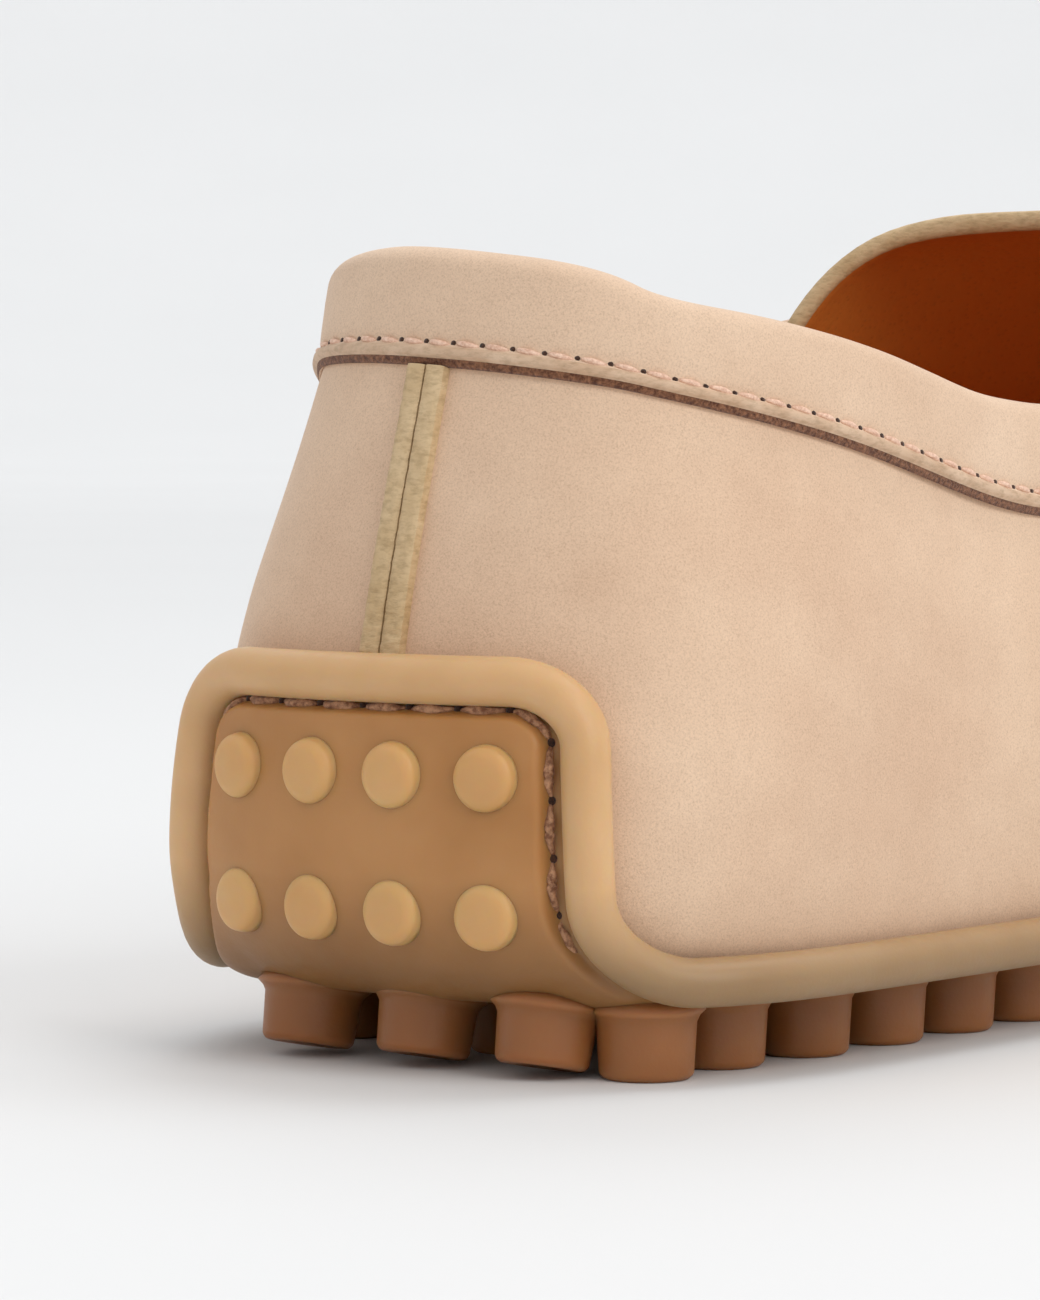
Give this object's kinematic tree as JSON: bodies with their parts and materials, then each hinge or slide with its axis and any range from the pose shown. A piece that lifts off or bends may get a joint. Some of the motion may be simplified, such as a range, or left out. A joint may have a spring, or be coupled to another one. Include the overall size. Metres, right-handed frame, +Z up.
{
  "type": "driving moccasin",
  "caption": "Soft nubuck driving moccasin with a folded collar, raised apron seam and a gum rubber sole whose studs run under the foot and up the heel.",
  "frame": {"origin": "on the floor, at the middle of the foot of the centre stud under the heel seat", "axes": "+Y along the foot from heel to toe, +Z up, +X to the outer side of this right shoe"},
  "size_m": [0.0991, 0.2866, 0.0763],
  "materials": {
    "nubuck": "fine short nap, matt, pinkish beige",
    "collar": "the same nubuck folded soft over the topline",
    "painted_edge": "cut leather edge with khaki edge paint, slightly wrinkled",
    "seam": "nubuck gathered in a raised hand sewn seam",
    "rubber": "translucent honey gum rubber, satin",
    "lining": "smooth tan lining leather"
  },
  "bodies": {
    "root": {"outsole": "rubber", "upper": "nubuck", "collar_band": "collar", "heel_seam_outer": "painted_edge", "heel_seam_inner": "painted_edge", "apron_seam": "seam", "insole": "lining"}
  },
  "joints": []
}
